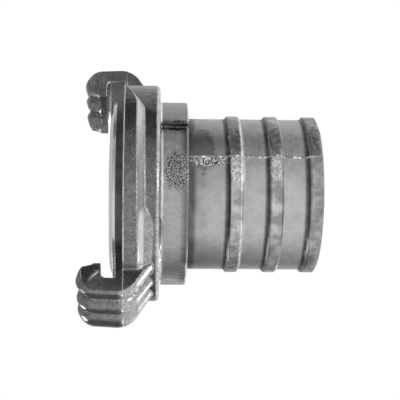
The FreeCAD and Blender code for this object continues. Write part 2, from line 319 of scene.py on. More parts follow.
@dataclass(frozen=True)
class CastFinish:
    """Bare cast alloy, with its skin, specks, turned zones and patches, some of them painted shade and
    highlights.
    """

    name: str
    shade: float
    dark_shade: float
    roughness: float
    skin_depth: float
    speck_share: float
    zones: tuple[Zone, ...] = ()
    patches: tuple[RoughPatch, ...] = ()
    skin_size: float = 1.1
    blotch_size: float = 9.0
    blotch_share: float = 0.7
    tone_range: Point = (0.36, 0.64)
    speck_range: Point = (0.5, 0.66)
    pit_range: Point = (0.42, 0.58)
    speck_size: float = 0.42
    speck_dark: float = 0.6
    speck_sink: float = 0.35
    lathe_pitch: float = 0.32
    lathe_depth: float = 0.006
    patch_roughness: float = 0.3

    def material(self) -> Material:
        """Build the material.

        Returns:
            A material that reads object coordinates only.
        """
        made, nodes = new_material(self.name)
        place = nodes.add("ShaderNodeTexCoord").outputs["Object"]
        _level, radius, height = nodes.from_axis(place)
        blotch = nodes.skin_noise(place, self.blotch_size, 3.0, 0.6)
        grain = nodes.skin_noise(place, self.skin_size, 4.0, 0.62)
        specks = nodes.skin_noise(place, self.skin_size * self.speck_size)
        specks = nodes.step(specks, *(edge + self.speck_share for edge in self.speck_range))

        tone = nodes.math("ADD", nodes.math("MULTIPLY", blotch, self.blotch_share),
                          nodes.math("MULTIPLY", grain, 1 - self.blotch_share))
        tone = nodes.math("SUBTRACT", nodes.step(tone, *self.tone_range),
                          nodes.math("MULTIPLY", specks, self.speck_dark), clamp=True)
        colour = nodes.blend(Blend.COLOUR, tone, grey(self.dark_shade), grey(self.shade))
        rough = nodes.scale(grain, self.roughness - 0.1, self.roughness + 0.12)
        pits = nodes.math("MULTIPLY", specks, -self.speck_sink)
        normal = nodes.bump(nodes.math("ADD", grain, pits), self.skin_depth)

        turns = math.tau / (self.lathe_pitch * MM)
        marks = nodes.math("SINE", nodes.math("MULTIPLY", nodes.math("ADD", radius, height), turns))
        marks = nodes.math("MULTIPLY", marks, 0.5)
        turned = nodes.bump(nodes.math("ADD", marks, nodes.skin_noise(place, 0.8)), self.lathe_depth)
        for zone in self.zones:
            mask = zone.mask(nodes, radius, height)
            own = nodes.blend(Blend.COLOUR, blotch if zone.turned else tone,
                              grey(zone.shade - zone.contrast), grey(zone.shade))
            colour = nodes.blend(Blend.COLOUR, mask, colour, own)
            own = nodes.scale(blotch, zone.roughness - 0.06, zone.roughness + 0.08)
            rough = nodes.blend(Blend.NUMBER, mask, rough, own)
            if zone.turned:
                normal = nodes.blend(Blend.VECTOR, mask, normal, turned)
        for patch in self.patches:
            mask = patch.mask(nodes, place)
            pits = nodes.skin_noise(place, patch.grain)
            own = nodes.blend(Blend.COLOUR, nodes.step(pits, *self.pit_range),
                              grey(patch.dark), grey(patch.light))
            colour = nodes.blend(Blend.COLOUR, mask, colour, own)
            rough = nodes.blend(Blend.NUMBER, mask, rough, self.patch_roughness)
            normal = nodes.blend(Blend.VECTOR, mask, normal, nodes.bump(pits, patch.depth))
        shader = nodes.add("ShaderNodeBsdfPrincipled", {
            "Base Color": colour, "Metallic": 1.0, "Roughness": rough, "Normal": normal})
        nodes.add("ShaderNodeOutputMaterial", {0: shader.outputs[0]})
        return made


@dataclass(frozen=True)
class RubberFinish:
    """Pale moulded rubber with a dusty skin."""

    name: str
    shade: float
    roughness: float
    warmth: float = 0.02
    dust_shade: float = 0.07

    def material(self) -> Material:
        """Build the material.

        Returns:
            A material that reads object coordinates only.
        """
        made, nodes = new_material(self.name)
        place = nodes.add("ShaderNodeTexCoord").outputs["Object"]
        dust = nodes.skin_noise(place, 3.5, 4.0, 0.65)
        shades = (grey(shade, self.warmth) for shade in (self.shade - self.dust_shade, self.shade))
        colour = nodes.blend(Blend.COLOUR, nodes.step(dust, 0.35, 0.65), *shades)
        rough = nodes.scale(dust, self.roughness - 0.08, self.roughness + 0.12)
        shader = nodes.add("ShaderNodeBsdfPrincipled", {
            "Base Color": colour, "Roughness": rough,
            "Normal": nodes.bump(nodes.skin_noise(place, 0.5), 0.03), "Specular IOR Level": 0.35})
        nodes.add("ShaderNodeOutputMaterial", {0: shader.outputs[0]})
        return made


class GeometryTree:
    """A Geometry Nodes tree with named inputs, used as a modifier and then made a plain mesh."""

    def __init__(self, name: str, values: dict[str, float]) -> None:
        """Make the tree with its group inputs.

        Args:
            name: Name of the tree.
            values: Value of each input by its name; a whole number makes an integer input.
        """
        self.group = bpy.data.node_groups.new(name, "GeometryNodeTree")
        self.nodes = Nodes(self.group)
        self.values: dict[str, float] = {}
        face = self.group.interface
        face.new_socket("Geometry", in_out="INPUT", socket_type="NodeSocketGeometry")
        for label, value in values.items():
            kind = "NodeSocketInt" if isinstance(value, int) else "NodeSocketFloat"
            socket = face.new_socket(label, in_out="INPUT", socket_type=kind)
            self.values[socket.identifier] = value
        face.new_socket("Geometry", in_out="OUTPUT", socket_type="NodeSocketGeometry")
        self.source = self.nodes.add("NodeGroupInput")

    def given(self, label: str) -> Socket:
        """The group input of that name."""
        return self.source.outputs[label]

    def moved(self, geometry: Socket, offset: Socket) -> Socket:
        """The geometry with every point moved by an offset."""
        inputs = {"Geometry": geometry, "Offset": offset}
        return self.nodes.add("GeometryNodeSetPosition", inputs).outputs[0]

    def close(self, geometry: Socket, finish: Material) -> None:
        """End the tree with real geometry that has its finish.

        Args:
            geometry: What the tree has made.
            finish: Its material.
        """
        real = self.nodes.add("GeometryNodeRealizeInstances", {0: geometry}).outputs[0]
        dressed = self.nodes.add("GeometryNodeSetMaterial", {"Geometry": real, "Material": finish})
        self.nodes.add("NodeGroupOutput", {0: dressed.outputs[0]})

    def apply(self, piece: Piece, name: str) -> Piece:
        """Run the tree on a piece and keep its result as a plain mesh object.

        Args:
            piece: Object that the tree starts from, removed afterwards.
            name: Name of the finished piece.

        Returns:
            The finished piece.
        """
        modifier = piece.modifiers.new("shape", "NODES")
        modifier.node_group = self.group
        for identifier, value in self.values.items():
            modifier[identifier] = value
        return plain_mesh(piece, name)


def plain_mesh(piece: Piece, name: str) -> Piece:
    """Turn a piece with modifiers into a plain mesh object of a new name.

    Args:
        piece: The piece, removed afterwards.
        name: Name of the plain one.

    Returns:
        The plain one.
    """
    graph = bpy.context.evaluated_depsgraph_get()
    graph.update()
    mesh = bpy.data.meshes.new_from_object(piece.evaluated_get(graph), depsgraph=graph)
    mesh.name = name
    data = piece.data
    bpy.data.objects.remove(piece)
    (bpy.data.meshes if isinstance(data, Mesh) else bpy.data.curves).remove(data)
    return link(name, mesh)


def link(name: str, data: bpy.types.ID) -> Piece:
    """Put a new object in the scene.

    Args:
        name: Name of the object.
        data: Its mesh, curve, lamp or camera.

    Returns:
        The object.
    """
    made = bpy.data.objects.new(name, data)
    bpy.context.scene.collection.objects.link(made)
    return made


def shade_smooth(piece: Piece, angle_degrees: float) -> None:
    """Shade a mesh smoothly across edges blunter than the angle."""
    piece.data.polygons.foreach_set("use_smooth", [True] * len(piece.data.polygons))
    piece.data.set_sharp_from_angle(angle=math.radians(angle_degrees))


def rounded(corners: Sequence[tuple[float, float, float]], step: float,
            segments: int = 5) -> list[Point]:
    """Outline with rounded corners and evenly divided sides.

    Args:
        corners: Radius, height and corner round of each corner, in order round a closed outline.
        step: Longest side between two points.
        segments: Sides of a rounded corner.

    Returns:
        The points of the closed outline, without a repeated first point.
    """
    count = len(corners)
    spots = [Vector(corner[:2]) for corner in corners]
    arcs: list[list[Vector]] = []
    for index, (_radius, _height, size) in enumerate(corners):
        here = spots[index]
        back = (spots[index - 1] - here).normalized()
        ahead = (spots[(index + 1) % count] - here).normalized()
        half = back.angle(ahead) / 2
        reach = size / math.tan(half)
        centre = here + (back + ahead).normalized() * (size / math.sin(half))
        start, end = here + back * reach - centre, here + ahead * reach - centre
        sweep = start.angle_signed(end)
        arcs.append([centre + Matrix.Rotation(-sweep * k / segments, 2) @ start
                     for k in range(segments + 1)])
    points: list[Point] = []
    for index, arc in enumerate(arcs):
        points += [tuple(p) for p in arc]
        start, end = arc[-1], arcs[(index + 1) % count][0]
        parts = max(1, math.ceil((end - start).length / step))
        points += [tuple(start.lerp(end, k / parts)) for k in range(1, parts)]
    return points


def spin(outline: Sequence[Point], segments: int, name: str) -> Piece:
    """Revolve a closed outline about the axis.

    Args:
        outline: Radius and height of each point.
        segments: Steps round the axis.
        name: Name of the piece.

    Returns:
        A closed mesh object with its faces outwards.
    """
    ring = np.array(outline) * MM
    rows = len(ring)
    turn = np.arange(segments) * math.tau / segments
    spots = np.stack([
        np.outer(np.cos(turn), ring[:, 0]), np.outer(np.sin(turn), ring[:, 0]),
        np.broadcast_to(ring[:, 1], (segments, rows)),
    ], axis=-1)
    near, along = np.meshgrid(np.arange(segments), np.arange(rows), indexing="ij")
    far, after = (near + 1) % segments, (along + 1) % rows
    corners = [near * rows + along, far * rows + along, far * rows + after, near * rows + after]
    faces = np.stack(corners, axis=-1)
    mesh = bpy.data.meshes.new(name)
    mesh.from_pydata(spots.reshape(-1, 3).tolist(), [], faces.reshape(-1, 4).tolist())
    mesh.update()
    face_outwards(mesh)
    return link(name, mesh)


def face_outwards(mesh: Mesh) -> None:
    """Turn every face outwards.

    Args:
        mesh: Closed mesh, changed in place.
    """
    work = bmesh.new()
    work.from_mesh(mesh)
    bmesh.ops.recalc_face_normals(work, faces=work.faces)
    work.to_mesh(mesh)
    work.free()


def polar(points: np.ndarray) -> tuple[np.ndarray, np.ndarray, np.ndarray]:
    """Radius, angle in degrees and height of points, in metres."""
    x, y, z = points.T
    return np.hypot(x, y), np.degrees(np.arctan2(y, x)), z


def turn_between(angles: np.ndarray, centre: float) -> np.ndarray:
    """Angle from a centre direction, from -180 to 180 degrees."""
    return (angles - centre + 180) % 360 - 180


def bell(values: np.ndarray, spread: float) -> np.ndarray:
    """One at zero, falling softly on both sides within the spread."""
    return np.exp(-(values / spread) ** 2)


def dome(share: np.ndarray) -> np.ndarray:
    """Fall of a round back, from 0 at its crown to 1 at its foot."""
    return 1 - np.sqrt(1 - share ** 2)


def read_points(mesh: Mesh) -> np.ndarray:
    """All the vertices of a mesh.

    Args:
        mesh: The mesh.

    Returns:
        A row of x, y and z for each vertex.
    """
    values = np.empty(len(mesh.vertices) * 3)
    mesh.vertices.foreach_get("co", values)
    return values.reshape(-1, 3)


def write_points(mesh: Mesh, points: np.ndarray) -> None:
    """Set all the vertices of a mesh."""
    mesh.vertices.foreach_set("co", points.ravel())
    mesh.update()


def surface_path(piece: Piece, places: Iterable[Point], start: float, closed: bool = False) -> Piece:
    """Curve through the points where rays towards the axis meet a piece.

    Args:
        piece: Object whose surface carries the path.
        places: Angle in degrees and height of each ray.
        start: Distance from the axis where the rays start.
        closed: Whether the path runs back to its start.

    Returns:
        A curve object of straight runs.
    """
    faces = [polygon.vertices[:] for polygon in piece.data.polygons]
    tree = BVHTree.FromPolygons(read_points(piece.data).tolist(), faces)
    found = []
    for angle, height in places:
        out = Vector((math.cos(math.radians(angle)), math.sin(math.radians(angle)), 0))
        hit = tree.ray_cast(out * start * MM + Vector((0, 0, height * MM)), -out)[0]
        if hit is not None:
            found.append(hit)
    curve = bpy.data.curves.new("path", "CURVE")
    curve.dimensions = "3D"
    line = curve.splines.new("POLY")
    line.points.add(len(found) - 1)
    for spot, point in zip(line.points, found):
        spot.co = (*point, 1)
    line.use_cyclic_u = closed
    return link("path", curve)


def seat(piece: Piece, body: Body, slot: Slot, *replaced: str) -> None:
    """Put a piece on its body, and hide the solids it stands for.

    Args:
        piece: The finished piece.
        body: Body that it moves with.
        slot: Finish that the record gives it; not used.
        *replaced: Names of the solids that it replaces.
    """
    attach(piece, body.value)
    if replaced:
        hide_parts(*replaced)
    LOG.info("%s: %d faces", piece.name, len(piece.data.polygons))


@dataclass(frozen=True)
class SeamFlash:
    """Thin ragged metal that stands along a parting line of a casting."""

    finish: CastFinish
    height: float
    width: float
    seed: int
    step: float = 0.45
    thinnest: float = 0.08
    drift_scale: float = 260.0
    sides: int = 5

    def build(self, path: Piece, name: str) -> Piece:
        """Run a small ragged section along a path.

        Args:
            path: Curve on the casting's surface, removed afterwards.
            name: Name of the piece.

        Returns:
            The flash as a plain mesh object.
        """
        tree = GeometryTree(name + "_tree", {
            "Flash height": self.height * MM, "Flash width": self.width * MM, "Step": self.step * MM,
            "Thinnest": self.thinnest, "Drift scale": self.drift_scale, "Sides": self.sides,
            "Seed": self.seed})
        nodes = tree.nodes
        line = nodes.add("GeometryNodeResampleCurve", {
            "Curve": tree.given("Geometry"), "Length": tree.given("Step")}, mode="LENGTH").outputs[0]
        chance = nodes.add("FunctionNodeRandomValue", {
            2: tree.given("Thinnest"), 3: 1.0, "Seed": tree.given("Seed")}, data_type="FLOAT")
        place = nodes.add("GeometryNodeInputPosition").outputs[0]
        drift = nodes.add("ShaderNodeTexNoise", {
            "Vector": place, "Scale": tree.given("Drift scale"), "Detail": 2.0}).outputs["Color"]
        drift = nodes.vector("SUBTRACT", drift, (0.5, 0.5, 0.5))
        line = tree.moved(line, nodes.vector("SCALE", drift, tree.given("Flash width")))
        line = nodes.add("GeometryNodeSetCurveRadius", {
            "Curve": line, "Radius": chance.outputs[1]}).outputs[0]
        section = nodes.add("GeometryNodeCurvePrimitiveCircle", {
            "Resolution": tree.given("Sides"), "Radius": tree.given("Flash height")}, mode="RADIUS")
        tube = nodes.add("GeometryNodeCurveToMesh", {
            "Curve": line, "Profile Curve": section.outputs[0], "Fill Caps": True}).outputs[0]
        tree.close(tube, self.finish.material())
        made = tree.apply(path, name)
        face_outwards(made.data)
        shade_smooth(made, 50)
        return made


@dataclass
class Sleeve:
    """Cast sleeve: ribbed hose tail, flange and ring groove, with its casting seams."""

    bore: float = 33.5
    wall: float = 3.9
    outside_from: float = 2.0
    rib_height: float = 1.45
    rib_width: float = 7.3
    rib_front_flank: float = 1.2
    rib_rear_flank: float = 0.75
    rib_wander: float = 0.35
    rib_wander_scale: float = 90.0
    rib_first: float = 3.8
    rib_pitch: float = 18.9
    rib_count: int = 3
    unevenness: float = 0.22
    lump_size: float = 9.0
    flange_depth: float = 8.5
    rim_step: float = 0.4
    rim_depth: float = 1.5
    groove_wall: float = 2.5
    groove_width: float = 5.5
    groove_depth: float = 5.0
    lip_step: float = 1.2
    seams: tuple[float, float] = (-100.55, 79.45)
    seam_height: float = 0.22
    seam_width: float = 1.1
    seam_points: int = 160
    half_shift: float = 0.05
    half_shift_soft: float = 0.3
    half_shift_reach: float = 25.0
    chip_angle: float = -61.0
    chip_spread: float = 8.0
    chip_depth: float = 1.7
    chip_height: float = 0.8
    chip_reach: float = 1.5
    segments: int = 290
    row: float = 0.5
    bore_row_share: int = 10
    length: float = field(init=False)
    flange: float = field(init=False)
    tail: float = field(init=False)

    def __post_init__(self) -> None:
        """Read the sleeve's reach from the frame."""
        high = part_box("sleeve")[1]
        self.length = high.z / MM
        self.flange = high.x / MM
        self.tail = self.bore + self.wall

    def finish(self) -> Material:
        """Light cast alloy, turned on the rim, in the bore and on the tail end, with painted shade and
        sheen.

        Returns:
            The material.
        """
        tail, bore, top = self.tail, self.bore, self.length
        ribs = [self.rib_first + k * self.rib_pitch for k in range(self.rib_count)]
        zones = [
            # edge of the flange, darkened with painted shade where the collar shades it
            Zone(tail + 4, self.flange + 1, top - self.flange_depth, top - self.rim_depth,
                 0.46, 0.42, False),
            # dull tail next to the collar, partly painted shade, with a painted shadow of the hub
            # where it is darkest
            Zone(tail - 1, tail + 0.8, 55.0, 72.0, 0.70, 0.30, False, 3.5),
            Zone(tail - 1, tail + 0.8, 60.6, 66.0, 0.40, 0.32, False, 1.4),
            # crests of the ribs, and painted shade in front of each
            Zone(tail + 0.6, tail + 2, -1, 56.0, 0.84, 0.32, False, 0.3, 0.22),
            *(Zone(bore + 3, tail + 1.3, rib + 2.4, rib + 5.0, 0.44, 0.38, False, 0.8)
              for rib in ribs),
            # turned rim, bore and tail end
            Zone(bore - 2, self.flange + 1, top - self.rim_depth, top + 1, 0.99, 0.26),
            Zone(bore - 2, bore + 0.3, -1, top, 0.93, 0.22),
            Zone(bore - 2, tail - 0.4, -1, 0.2, 0.93, 0.22),
        ]
        patches = [
            # stain deepened with painted shade beside the seam, next to the collar, and burrs there
            RoughPatch(tail, -92.0, 57.5, (13.5, 6.5), 0.01, 12.0, 0.54, 0.62),
            RoughPatch(tail, -104.0, 54.0, (2.8, 10.0), 0.24, 0.7, 0.34, 0.95),
            # mottled skin on the ribs, with painted shade above the seam and a painted sheen below it
            *(RoughPatch(tail + 1.4, -86.0, rib, (12.5, 3.2), 0.03, 2.4, 0.54, 0.69)
              for rib in ribs),
            *(RoughPatch(tail + 1.4, -109.5, rib, (7.5, 3.0), 0.06, 1.0, 0.74, 1.0)
              for rib in ribs[1:]),
        ]
        return CastFinish(
            "sleeve_cast_alloy", shade=0.80, dark_shade=0.745, roughness=0.30, skin_depth=0.010,
            speck_share=0.10, zones=tuple(zones), patches=tuple(patches), blotch_size=6.0,
            blotch_share=0.8).material()

    def outline(self) -> list[Point]:
        """Outline of the sleeve without its ribs.

        Returns:
            Its points, with few of them along the plain bore.
        """
        back = self.length - self.flange_depth
        shoulder = self.length - self.rim_depth
        floor = self.length - self.groove_depth
        lip = self.length - self.lip_step
        inner = self.bore + self.groove_wall
        outer = inner + self.groove_width
        rim = self.flange - self.rim_step
        points = rounded([
            (self.bore, 0.0, 0.6), (self.tail, 0.0, 0.5), (self.tail, back, 2.0),
            (self.flange, back, 0.9), (self.flange, shoulder, 0.15), (rim, shoulder, 0.1),
            (rim, self.length, 0.35), (outer, self.length, 0.2), (outer, floor, 0.3),
            (inner, floor, 0.3), (inner, lip, 0.2), (self.bore, lip, 0.3),
        ], self.row)
        plain = [k for k, (radius, height) in enumerate(points)
                 if abs(radius - self.bore) < MM and 2.0 < height < self.length - 4.0]
        spare = set(plain) - set(plain[::self.bore_row_share])
        return [point for k, point in enumerate(points) if k not in spare]

    def relief(self, skin: Material) -> GeometryTree:
        """Tree that raises the ribs and lets the cast skin wander.

        Args:
            skin: Finish of the result.

        Returns:
            The tree, whose sizes are in metres.
        """
        tree = GeometryTree("rib_relief", {
            "First rib": self.rib_first * MM, "Rib pitch": self.rib_pitch * MM,
            "Rib count": self.rib_count, "Rib height": self.rib_height * MM,
            "Rib width": self.rib_width * MM,
            "Front flank": self.rib_front_flank * MM, "Rear flank": self.rib_rear_flank * MM,
            "Wander": self.rib_wander * MM, "Wander scale": self.rib_wander_scale,
            "Outside from": (self.bore + self.outside_from) * MM, "Unevenness": self.unevenness * MM,
            "Lump size": self.lump_size * MM, "Seed": 3.0})
        nodes, given = tree.nodes, tree.given
        place = nodes.add("GeometryNodeInputPosition").outputs[0]
        level, radius, height = nodes.from_axis(place)
        steps = nodes.math("SUBTRACT", height, given("First rib"))
        steps = nodes.math("DIVIDE", steps, given("Rib pitch"))
        last = nodes.math("SUBTRACT", given("Rib count"), 1.0)
        rib = nodes.math("MAXIMUM", nodes.math("MINIMUM", nodes.math("ROUND", steps), last), 0.0)
        ahead = nodes.math("MULTIPLY", nodes.math("SUBTRACT", steps, rib), given("Rib pitch"))
        flank = nodes.blend(Blend.NUMBER, nodes.math("GREATER_THAN", ahead, 0.0),
                            given("Rear flank"), given("Front flank"))
        wander = nodes.noise(place, given("Wander scale"), W=given("Seed"))
        wander = nodes.math("MULTIPLY", nodes.math("SUBTRACT", wander, 0.5), given("Wander"))
        away = nodes.math("ADD", nodes.math("ABSOLUTE", ahead), wander)
        half = nodes.math("MULTIPLY", given("Rib width"), 0.5)
        rise = nodes.math("DIVIDE", nodes.math("SUBTRACT", half, away), flank, clamp=True)
        lift = nodes.math("MULTIPLY", nodes.step(rise, 0.0, 1.0), given("Rib height"))
        lumps = nodes.noise(place, nodes.math("DIVIDE", 1.0, given("Lump size")), 3.0, 0.55,
                            W=given("Seed"))
        lumps = nodes.math("MULTIPLY", nodes.math("SUBTRACT", lumps, 0.5), given("Unevenness"))
        outside = nodes.math("GREATER_THAN", radius, given("Outside from"))
        total = nodes.math("MULTIPLY", nodes.math("ADD", lift, lumps), outside)
        offset = nodes.vector("SCALE", nodes.vector("NORMALIZE", level), total)
        tree.close(tree.moved(given("Geometry"), offset), skin)
        return tree

    def chip_and_seams(self, mesh: Mesh) -> None:
        """Raise the two casting seams, shift the halves a little and break the chipped rib edge.

        Args:
            mesh: Mesh of the sleeve, changed in place.
        """
        points = read_points(mesh)
        radius, angle, height = polar(points)
        lift = np.zeros(len(points))
        for seam in self.seams:
            off = np.radians(turn_between(angle, seam)) * radius / MM
            long_wave, short_wave = np.sin(height * 900 + seam), np.sin(height * 2300)
            ragged = 0.75 + 0.25 * long_wave + 0.15 * short_wave
            lift += self.seam_height * ragged * bell(off, self.seam_width / 2)
            shifted = self.half_shift / (1 + np.exp(-off / self.half_shift_soft))
            lift += shifted * bell(off, self.half_shift_reach)
        chip = bell(turn_between(angle, self.chip_angle), self.chip_spread)
        chip *= bell(height / MM - self.chip_height, self.chip_reach)
        jagged = np.sin(height * 5200) * np.sin(angle * 60)
        lift -= self.chip_depth * chip * (0.6 + 0.4 * jagged)
        lift *= radius > (self.bore + self.outside_from) * MM
        lift *= height < (self.length - self.rim_depth) * MM
        points[:, :2] *= (1 + lift * MM / radius)[:, None]
        write_points(mesh, points)

    def build(self) -> None:
        """Make the sleeve, and the ragged flash along its two seams."""
        blank = spin(self.outline(), self.segments, "sleeve_blank")
        casting = self.relief(self.finish()).apply(blank, "sleeve_casting")
        self.chip_and_seams(casting.data)
        shade_smooth(casting, 40)
        seat(casting, Body.TAILPIECE, Slot.SLEEVE, "sleeve")
        low, high = 1.0, self.length - self.flange_depth - 0.5
        heights = [low + k * (high - low) / self.seam_points for k in range(self.seam_points + 1)]
        # the flash is lighter than the sleeve: a painted highlight along the seams
        bright = CastFinish("bright_flash", 0.92, 0.74, 0.20, 0.004, 0.2)
        for number, seam in enumerate(self.seams, 1):
            path = surface_path(casting, [(seam, height) for height in heights], self.flange + 20)
            flash = SeamFlash(bright, height=0.68, width=1.1, seed=number)
            seat(flash.build(path, f"sleeve_flash_{number}"), Body.TAILPIECE, Slot.SLEEVE)


@dataclass
class SealingRing:
    """Rubber ring in the groove of the sleeve, its lip proud of the front face."""

    bore: float = 33.5
    inner: float = 36.1
    outer: float = 41.4
    lip_from: float = 1.1
    lip_chamfer: float = 1.3
    segments: int = 220
    low: float = field(init=False)
    high: float = field(init=False)
    front: float = field(init=False)

    def __post_init__(self) -> None:
        """Read the ring's reach from the frame."""
        low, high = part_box("seal_ring")
        self.low, self.high = low.z / MM, high.z / MM
        self.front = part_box("sleeve")[1].z / MM

    def build(self) -> None:
        """Make the ring and seat it."""
        lip = self.front - self.lip_from
        ring = spin(rounded([
            (self.inner, self.low, 0.25), (self.outer, self.low, 0.25),
            (self.outer, self.front + 0.05, 0.35), (self.inner + self.lip_chamfer, self.high, 0.55),
            (self.inner - self.lip_chamfer, self.high, 0.7), (self.bore, self.high - 0.5, 0.25),
            (self.bore, lip, 0.2), (self.inner, lip, 0.1),
        ], 0.7, 4), self.segments, "sealing_ring")
        ring.data.materials.append(RubberFinish("pale_rubber", 1.0, 0.45).material())
        shade_smooth(ring, 45)
        seat(ring, Body.TAILPIECE, Slot.SEAL, "seal_ring")


@dataclass(frozen=True)
class CastGrains:
    """Small grains of metal left on a casting by its mould."""

    count_per_square_metre: float
    smallest: float
    largest: float
    flatness: float
    seed: int

    def build(self, base: Piece, skin: Material, name: str,
              wanted: Callable[[np.ndarray], np.ndarray]) -> Piece:
        """Scatter grains over part of a casting.

        Args:
            base: The casting.
            skin: Finish of the grains.
            name: Name of the piece.
            wanted: Tells which face centres, in metres, may carry grains.

        Returns:
            The grains as a plain mesh object.
        """
        work = bmesh.new()
        work.from_mesh(base.data)
        keep = wanted(np.array([f.calc_center_median() for f in work.faces]))
        bare = [f for f, k in zip(work.faces, keep) if not k]
        bmesh.ops.delete(work, geom=bare, context="FACES")
        bed = bpy.data.meshes.new(name + "_bed")
        work.to_mesh(bed)
        work.free()
        tree = GeometryTree(name + "_tree", {
            "Density": float(self.count_per_square_metre), "Smallest": self.smallest * MM,
            "Largest": self.largest * MM, "Flatness": self.flatness, "Seed": self.seed})
        nodes, given = tree.nodes, tree.given
        spots = nodes.add("GeometryNodeDistributePointsOnFaces", {
            "Mesh": given("Geometry"), "Density": given("Density"), "Seed": given("Seed")}).outputs
        grain = nodes.add("GeometryNodeMeshIcoSphere", {"Radius": 1.0, "Subdivisions": 2}).outputs[0]
        size = nodes.add("FunctionNodeRandomValue", {
            2: given("Smallest"), 3: given("Largest"), "Seed": given("Seed")}, data_type="FLOAT")
        size = size.outputs[1]
        thick = nodes.math("MULTIPLY", size, given("Flatness"))
        sizes = nodes.add("ShaderNodeCombineXYZ", {0: size, 1: size, 2: thick}).outputs[0]
        grains = nodes.add("GeometryNodeInstanceOnPoints", {
            "Points": spots["Points"], "Instance": grain, "Rotation": spots["Rotation"],
            "Scale": sizes})
        tree.close(grains.outputs[0], skin)
        made = tree.apply(link(name + "_bed", bed), name)
        shade_smooth(made, 60)
        return made


@dataclass
class Collar:
    """Loose cast collar: hub with wrench lugs, ring with ledges, and two hooks of three fingers."""

    height: float = 30.65
    hub_depth: float = 12.5
    hub_bore: float = 41.0
    recess: float = 46.0
    arm: float = 62.5
    throat: float = 9.8
    throat_round: float = 4.2
    finger: float = 10.35
    hook_base: float = 12.0
    groove_from: float = 53.9
    groove_sink: float = 0.95
    groove_spread: float = 1.5
    nose_crown: float = 64.0
    nose_reach: float = 9.2
    nose_drop: float = 5.0
    lobe_drop: float = 4.8
    lobe_length: float = 8.0
    side_lobe_share: float = 0.4
    draft_degrees: float = 3.5
    draft_from: float = 58.0
    draft_reach: float = 11.8
    steepest: float = 0.98
    voxel: float = 0.36
    soften: float = 0.5
    soften_rounds: int = 4
    face_share: float = 0.27
    unevenness: float = 0.35
    lump_size: float = 8.0
    fine_unevenness: float = 0.07
    fine_scale: float = 700.0
    front: float = field(init=False)
    rear: float = field(init=False)
    reach: float = field(init=False)

    def __post_init__(self) -> None:
        """Read the collar's reach from the frame."""
        low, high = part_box("collar")
        self.rear, self.reach = low.z / MM, high.x / MM
        self.front = self.rear + self.height

    def finish(self) -> Material:
        """Darker cast alloy with a coarser skin, turned at the front, in the throats and in the bore,
        with painted shade and highlights.

        Returns:
            The material.
        """
        rear, front = self.rear, self.front
        zones = (
            # hub, and painted shade round its rear edge
            Zone(self.hub_bore, self.recess, rear - 1, rear + 13.2, 0.79, 0.38, False, contrast=0.12),
            Zone(self.hub_bore, 43.2, rear - 8, rear + 3.0, 0.42, 0.30, False, 2.0),
            # slope of the ledges, lightened as a painted highlight, and the hooks
            Zone(53.9, 58.0, front - 9.6, front - 5.4, 0.80, 0.36, False, 0.5),
            Zone(59.6, self.reach + 4, rear + 12, front + 40, 0.68, 0.17, False, 0.8, 0.20),
            # painted highlights on the rear edge of the ring and on the fillet between ring and hub
            Zone(52.2, 54.6, rear + 13.8, rear + 15.2, 0.76, 0.20, False, 0.4, 0.24),
            Zone(43.0, 45.6, rear + 12.1, rear + 13.6, 0.96, 0.22, False, 0.3),
            # turned front face, bore and throats
            Zone(self.recess - 8, self.arm + 0.3, front - 0.15, front + 0.15, 0.60, 0.42),
            Zone(self.recess - 12, self.hub_bore - 1, rear - 1, front, 0.80, 0.22),
            Zone(self.recess, self.arm + 0.15, front, front + self.throat + 0.1, 0.80, 0.22),
        )
        patches = (
            # pitted skin in the middle of the hub, and fainter near the lower hook
            RoughPatch(42.2, -113.0, 69.5, (10.5, 6.4), 0.22, 0.42, 0.12, 0.74),
            RoughPatch(43.2, 172.0, 69.0, (8.0, 6.0), 0.04, 1.1, 0.68, 0.84),
            # painted shade on the side walls of the lugs
            *(RoughPatch(43.7, turn, 70.5, (2.5, 9.0), 0.02, 1.0, 0.28, 0.44)
              for turn in (-80.3, 99.7)),
        )
        return CastFinish(
            "collar_cast_alloy", shade=0.66, dark_shade=0.44, roughness=0.20, skin_depth=0.008,
            speck_share=0.04, zones=zones, patches=patches, skin_size=0.6, blotch_size=3.6,
            blotch_share=0.28).material()

    def casting(self, skin: Material) -> Piece:
        """Copy of the solid with the soft edges of a casting.

        Args:
            skin: Its finish.

        Returns:
            A closed mesh object.
        """
        work = bmesh.new()
        work.from_mesh(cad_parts["collar"].data)
        bmesh.ops.remove_doubles(work, verts=work.verts, dist=0.001 * MM)
        mesh = bpy.data.meshes.new("collar_blank")
        work.to_mesh(mesh)
        work.free()
        blank = link("collar_blank", mesh)
        remesh = blank.modifiers.new("skin", "REMESH")
        remesh.mode, remesh.voxel_size, remesh.adaptivity = "VOXEL", self.voxel * MM, 0.0
        soften = blank.modifiers.new("soften", "SMOOTH")
        soften.factor, soften.iterations = self.soften, self.soften_rounds
        blank.modifiers.new("thin", "DECIMATE").ratio = self.face_share
        smooth = plain_mesh(blank, "collar_smooth")
        self.shape_hooks(smooth.data)
        return self.wander(skin).apply(smooth, "collar_casting")

    def shape_hooks(self, mesh: Mesh) -> None:
        """Sink the grooves between the fingers, and round the finger tips inwards and sideways.

        Args:
            mesh: Mesh of the collar, changed in place.
        """
        points = read_points(mesh)
        normals = np.empty(len(points) * 3)
        mesh.vertices.foreach_get("normal", normals)
        radius, angle, height = polar(points)
        on_hook = (radius > self.groove_from * MM) & (height > (self.rear + self.hook_base) * MM)
        above_throat = height > (self.front + self.throat + self.throat_round) * MM
        cast = on_hook & ((radius > (self.arm + 0.5) * MM) | above_throat)
        ahead = turn_between(angle, 0.0)
        ahead = np.where(np.abs(ahead) < 90, ahead, turn_between(angle, 180.0))

        grooves = sum(bell(np.radians(ahead - side * self.finger) * radius / MM, self.groove_spread)
                      for side in (-0.5, 0.5))
        points -= normals.reshape(-1, 3) * (self.groove_sink * MM * grooves * cast)[:, None]

